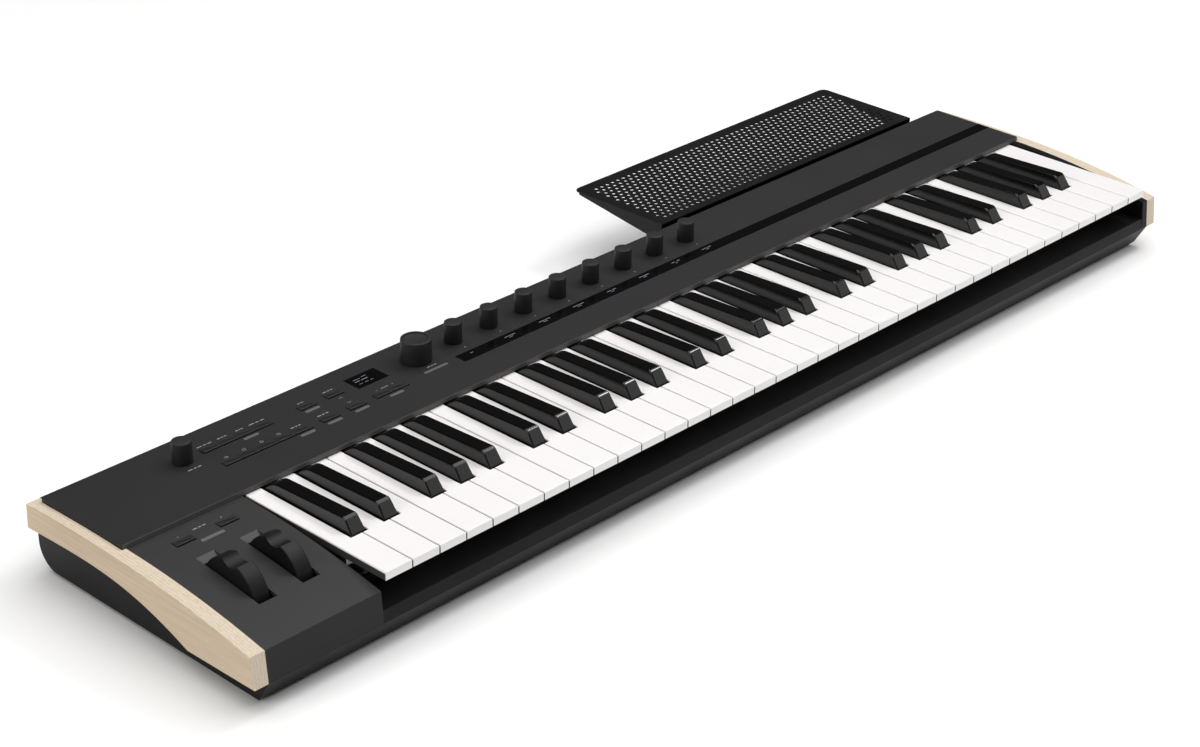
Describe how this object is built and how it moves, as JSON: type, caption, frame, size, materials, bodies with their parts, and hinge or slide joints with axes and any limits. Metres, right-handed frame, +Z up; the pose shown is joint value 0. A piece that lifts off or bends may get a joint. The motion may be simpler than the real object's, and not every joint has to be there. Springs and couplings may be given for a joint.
{
  "type": "synthesizer",
  "caption": "Long keyboard synthesizer with piano-size keys, pitch and modulation wheels, knobs, buttons, a small display, pale wooden ends and a perforated rear shelf.",
  "frame": {"origin": "bottom centre of the whole object, on the plane of its feet", "axes": "+X along the keyboard to the high notes, +Y to the rear, +Z up"},
  "size_m": [0.9766, 0.331, 0.0786],
  "materials": {
    "case_plastic": "satin black",
    "panel_plastic": "fine-textured charcoal",
    "deck_plastic": "fine-textured charcoal",
    "pale_wood": "clear satin on pale birch",
    "window_black": "gloss",
    "chassis_steel": "satin",
    "bright_steel": "brushed",
    "circuit_board": "satin",
    "foot_rubber": "matte",
    "socket_plastic": "satin",
    "shelf_steel": "satin black powder coat",
    "key_white": "gloss",
    "key_black": "gloss",
    "control_plastic": "matte"
  },
  "bodies": {
    "case": {"lower_case": "case_plastic", "top_panel": "panel_plastic", "left_deck": "deck_plastic", "wood_end_left": "pale_wood", "wood_end_right": "pale_wood", "panel_windows": "window_black", "keybed_chassis": "chassis_steel", "key_pivot_rod": "bright_steel", "key_spring_comb": "bright_steel", "circuit_boards": "circuit_board", "wheel_bracket": "chassis_steel", "rubber_feet": "foot_rubber", "rear_sockets": "socket_plastic", "case_screws": "bright_steel"},
    "key_c": {"key_c": "key_white"},
    "key_c_sharp": {"key_c_sharp": "key_black"},
    "key_d": {"key_d": "key_white"},
    "key_d_sharp": {"key_d_sharp": "key_black"},
    "key_e": {"key_e": "key_white"},
    "key_f": {"key_f": "key_white"},
    "key_f_sharp": {"key_f_sharp": "key_black"},
    "key_g": {"key_g": "key_white"},
    "key_g_sharp": {"key_g_sharp": "key_black"},
    "key_a": {"key_a": "key_white"},
    "key_a_sharp": {"key_a_sharp": "key_black"},
    "key_b": {"key_b": "key_white"},
    "natural_key_bank": {"natural_key_bank": "key_white"},
    "sharp_key_bank": {"sharp_key_bank": "key_black"},
    "pitch_wheel": {"pitch_wheel": "control_plastic"},
    "modulation_wheel": {"modulation_wheel": "control_plastic"},
    "volume_knob": {"volume_knob": "control_plastic"},
    "value_encoder_knob": {"value_encoder_knob": "control_plastic"},
    "control_knob_1": {"control_knob_1": "control_plastic"},
    "control_knob_2": {"control_knob_2": "control_plastic"},
    "control_knob_3": {"control_knob_3": "control_plastic"},
    "control_knob_4": {"control_knob_4": "control_plastic"},
    "control_knob_5": {"control_knob_5": "control_plastic"},
    "control_knob_6": {"control_knob_6": "control_plastic"},
    "control_knob_7": {"control_knob_7": "control_plastic"},
    "control_knob_8": {"control_knob_8": "control_plastic"},
    "function_button_1": {"function_button_1": "control_plastic"},
    "function_button_2": {"function_button_2": "control_plastic"},
    "function_button_3": {"function_button_3": "control_plastic"},
    "function_button_4": {"function_button_4": "control_plastic"},
    "function_button_5": {"function_button_5": "control_plastic"},
    "function_button_6": {"function_button_6": "control_plastic"},
    "function_button_7": {"function_button_7": "control_plastic"},
    "function_button_8": {"function_button_8": "control_plastic"},
    "function_button_9": {"function_button_9": "control_plastic"},
    "menu_button": {"menu_button": "control_plastic"},
    "cursor_up_button": {"cursor_up_button": "control_plastic"},
    "enter_button": {"enter_button": "control_plastic"},
    "cursor_down_button": {"cursor_down_button": "control_plastic"},
    "page_down_button": {"page_down_button": "control_plastic"},
    "page_up_button": {"page_up_button": "control_plastic"},
    "octave_down_button": {"octave_down_button": "control_plastic"},
    "octave_up_button": {"octave_up_button": "control_plastic"},
    "power_button": {"power_button": "control_plastic"},
    "rear_shelf": {"rear_shelf": "shelf_steel"}
  },
  "joints": [
    {"name": "key_c_hinge", "type": "hinge", "parent": "case", "child": "key_c", "pos_m": [-0.04211, 0.0209, 0.0472], "axis": [1, 0, 0], "range_deg": [0, 3.1], "stiffness_Nm_per_rad": 1, "springref_deg": -6.88},
    {"name": "key_c_sharp_hinge", "type": "hinge", "parent": "case", "child": "key_c_sharp", "pos_m": [-0.02796, 0.0209, 0.0472], "axis": [1, 0, 0], "range_deg": [0, 3.1], "stiffness_Nm_per_rad": 1, "springref_deg": -6.88},
    {"name": "key_d_hinge", "type": "hinge", "parent": "case", "child": "key_d", "pos_m": [-0.01381, 0.0209, 0.0472], "axis": [1, 0, 0], "range_deg": [0, 3.1], "stiffness_Nm_per_rad": 1, "springref_deg": -6.88},
    {"name": "key_d_sharp_hinge", "type": "hinge", "parent": "case", "child": "key_d_sharp", "pos_m": [0.00034, 0.0209, 0.0472], "axis": [1, 0, 0], "range_deg": [0, 3.1], "stiffness_Nm_per_rad": 1, "springref_deg": -6.88},
    {"name": "key_e_hinge", "type": "hinge", "parent": "case", "child": "key_e", "pos_m": [0.01449, 0.0209, 0.0472], "axis": [1, 0, 0], "range_deg": [0, 3.1], "stiffness_Nm_per_rad": 1, "springref_deg": -6.88},
    {"name": "key_f_hinge", "type": "hinge", "parent": "case", "child": "key_f", "pos_m": [0.0283, 0.0209, 0.0472], "axis": [1, 0, 0], "range_deg": [0, 3.1], "stiffness_Nm_per_rad": 1, "springref_deg": -6.88},
    {"name": "key_f_sharp_hinge", "type": "hinge", "parent": "case", "child": "key_f_sharp", "pos_m": [0.04177, 0.0209, 0.0472], "axis": [1, 0, 0], "range_deg": [0, 3.1], "stiffness_Nm_per_rad": 1, "springref_deg": -6.88},
    {"name": "key_g_hinge", "type": "hinge", "parent": "case", "child": "key_g", "pos_m": [0.05525, 0.0209, 0.0472], "axis": [1, 0, 0], "range_deg": [0, 3.1], "stiffness_Nm_per_rad": 1, "springref_deg": -6.88},
    {"name": "key_g_sharp_hinge", "type": "hinge", "parent": "case", "child": "key_g_sharp", "pos_m": [0.06872, 0.0209, 0.0472], "axis": [1, 0, 0], "range_deg": [0, 3.1], "stiffness_Nm_per_rad": 1, "springref_deg": -6.88},
    {"name": "key_a_hinge", "type": "hinge", "parent": "case", "child": "key_a", "pos_m": [0.08219, 0.0209, 0.0472], "axis": [1, 0, 0], "range_deg": [0, 3.1], "stiffness_Nm_per_rad": 1, "springref_deg": -6.88},
    {"name": "key_a_sharp_hinge", "type": "hinge", "parent": "case", "child": "key_a_sharp", "pos_m": [0.09567, 0.0209, 0.0472], "axis": [1, 0, 0], "range_deg": [0, 3.1], "stiffness_Nm_per_rad": 1, "springref_deg": -6.88},
    {"name": "key_b_hinge", "type": "hinge", "parent": "case", "child": "key_b", "pos_m": [0.10914, 0.0209, 0.0472], "axis": [1, 0, 0], "range_deg": [0, 3.1], "stiffness_Nm_per_rad": 1, "springref_deg": -6.88},
    {"name": "natural_key_bank_hinge", "type": "hinge", "parent": "case", "child": "natural_key_bank", "pos_m": [0, 0.0209, 0.0472], "axis": [1, 0, 0], "range_deg": [0, 3.1], "stiffness_Nm_per_rad": 29, "springref_deg": -6.88},
    {"name": "sharp_key_bank_hinge", "type": "hinge", "parent": "case", "child": "sharp_key_bank", "pos_m": [0, 0.0209, 0.0472], "axis": [1, 0, 0], "range_deg": [0, 3.1], "stiffness_Nm_per_rad": 20, "springref_deg": -6.88},
    {"name": "pitch_wheel_turn", "type": "hinge", "parent": "case", "child": "pitch_wheel", "pos_m": [-0.4443, -0.0972, 0.0419], "axis": [1, 0, 0], "range_deg": [-30, 30], "stiffness_Nm_per_rad": 0.05},
    {"name": "modulation_wheel_turn", "type": "hinge", "parent": "case", "child": "modulation_wheel", "pos_m": [-0.409, -0.0972, 0.0419], "axis": [1, 0, 0], "range_deg": [-30, 30]},
    {"name": "volume_knob_turn", "type": "hinge", "parent": "case", "child": "volume_knob", "pos_m": [-0.385, 0.032, 0.0608], "axis": [0, 0, 1], "range_deg": [-150, 150]},
    {"name": "value_encoder_knob_turn", "type": "hinge", "parent": "case", "child": "value_encoder_knob", "pos_m": [-0.174, 0.0307, 0.0608], "axis": [0, 0, 1], "continuous": true},
    {"name": "control_knob_1_turn", "type": "hinge", "parent": "case", "child": "control_knob_1", "pos_m": [-0.1347, 0.0336, 0.0608], "axis": [0, 0, 1], "continuous": true},
    {"name": "control_knob_2_turn", "type": "hinge", "parent": "case", "child": "control_knob_2", "pos_m": [-0.09863, 0.0336, 0.0608], "axis": [0, 0, 1], "continuous": true},
    {"name": "control_knob_3_turn", "type": "hinge", "parent": "case", "child": "control_knob_3", "pos_m": [-0.06256, 0.0336, 0.0608], "axis": [0, 0, 1], "continuous": true},
    {"name": "control_knob_4_turn", "type": "hinge", "parent": "case", "child": "control_knob_4", "pos_m": [-0.02649, 0.0336, 0.0608], "axis": [0, 0, 1], "continuous": true},
    {"name": "control_knob_5_turn", "type": "hinge", "parent": "case", "child": "control_knob_5", "pos_m": [0.00958, 0.0336, 0.0608], "axis": [0, 0, 1], "continuous": true},
    {"name": "control_knob_6_turn", "type": "hinge", "parent": "case", "child": "control_knob_6", "pos_m": [0.04565, 0.0336, 0.0608], "axis": [0, 0, 1], "continuous": true},
    {"name": "control_knob_7_turn", "type": "hinge", "parent": "case", "child": "control_knob_7", "pos_m": [0.08172, 0.0336, 0.0608], "axis": [0, 0, 1], "continuous": true},
    {"name": "control_knob_8_turn", "type": "hinge", "parent": "case", "child": "control_knob_8", "pos_m": [0.11779, 0.0336, 0.0608], "axis": [0, 0, 1], "continuous": true},
    {"name": "function_button_1_press", "type": "slide", "parent": "case", "child": "function_button_1", "axis": [0, 0, -1], "range_m": [0, 0.0006], "stiffness_N_per_m": 1000, "springref_m": -0.0005},
    {"name": "function_button_2_press", "type": "slide", "parent": "case", "child": "function_button_2", "axis": [0, 0, -1], "range_m": [0, 0.0006], "stiffness_N_per_m": 1000, "springref_m": -0.0005},
    {"name": "function_button_3_press", "type": "slide", "parent": "case", "child": "function_button_3", "axis": [0, 0, -1], "range_m": [0, 0.0006], "stiffness_N_per_m": 1000, "springref_m": -0.0005},
    {"name": "function_button_4_press", "type": "slide", "parent": "case", "child": "function_button_4", "axis": [0, 0, -1], "range_m": [0, 0.0006], "stiffness_N_per_m": 1000, "springref_m": -0.0005},
    {"name": "function_button_5_press", "type": "slide", "parent": "case", "child": "function_button_5", "axis": [0, 0, -1], "range_m": [0, 0.0006], "stiffness_N_per_m": 1000, "springref_m": -0.0005},
    {"name": "function_button_6_press", "type": "slide", "parent": "case", "child": "function_button_6", "axis": [0, 0, -1], "range_m": [0, 0.0006], "stiffness_N_per_m": 1000, "springref_m": -0.0005},
    {"name": "function_button_7_press", "type": "slide", "parent": "case", "child": "function_button_7", "axis": [0, 0, -1], "range_m": [0, 0.0006], "stiffness_N_per_m": 1000, "springref_m": -0.0005},
    {"name": "function_button_8_press", "type": "slide", "parent": "case", "child": "function_button_8", "axis": [0, 0, -1], "range_m": [0, 0.0006], "stiffness_N_per_m": 1000, "springref_m": -0.0005},
    {"name": "function_button_9_press", "type": "slide", "parent": "case", "child": "function_button_9", "axis": [0, 0, -1], "range_m": [0, 0.0006], "stiffness_N_per_m": 1000, "springref_m": -0.0005},
    {"name": "menu_button_press", "type": "slide", "parent": "case", "child": "menu_button", "axis": [0, 0, -1], "range_m": [0, 0.0006], "stiffness_N_per_m": 1000, "springref_m": -0.0005},
    {"name": "cursor_up_button_press", "type": "slide", "parent": "case", "child": "cursor_up_button", "axis": [0, 0, -1], "range_m": [0, 0.0006], "stiffness_N_per_m": 1000, "springref_m": -0.0005},
    {"name": "enter_button_press", "type": "slide", "parent": "case", "child": "enter_button", "axis": [0, 0, -1], "range_m": [0, 0.0006], "stiffness_N_per_m": 1000, "springref_m": -0.0005},
    {"name": "cursor_down_button_press", "type": "slide", "parent": "case", "child": "cursor_down_button", "axis": [0, 0, -1], "range_m": [0, 0.0006], "stiffness_N_per_m": 1000, "springref_m": -0.0005},
    {"name": "page_down_button_press", "type": "slide", "parent": "case", "child": "page_down_button", "axis": [0, 0, -1], "range_m": [0, 0.0006], "stiffness_N_per_m": 1000, "springref_m": -0.0005},
    {"name": "page_up_button_press", "type": "slide", "parent": "case", "child": "page_up_button", "axis": [0, 0, -1], "range_m": [0, 0.0006], "stiffness_N_per_m": 1000, "springref_m": -0.0005},
    {"name": "octave_down_button_press", "type": "slide", "parent": "case", "child": "octave_down_button", "axis": [0, 0, -1], "range_m": [0, 0.0006], "stiffness_N_per_m": 1000, "springref_m": -0.0005},
    {"name": "octave_up_button_press", "type": "slide", "parent": "case", "child": "octave_up_button", "axis": [0, 0, -1], "range_m": [0, 0.0006], "stiffness_N_per_m": 1000, "springref_m": -0.0005},
    {"name": "power_button_press", "type": "slide", "parent": "case", "child": "power_button", "axis": [0, -1, 0], "range_m": [0, 0.0015], "stiffness_N_per_m": 800, "springref_m": -0.001},
    {"name": "rear_shelf_lift", "type": "slide", "parent": "case", "child": "rear_shelf", "axis": [0, 0, 1], "range_m": [0, 0.03]}
  ]
}
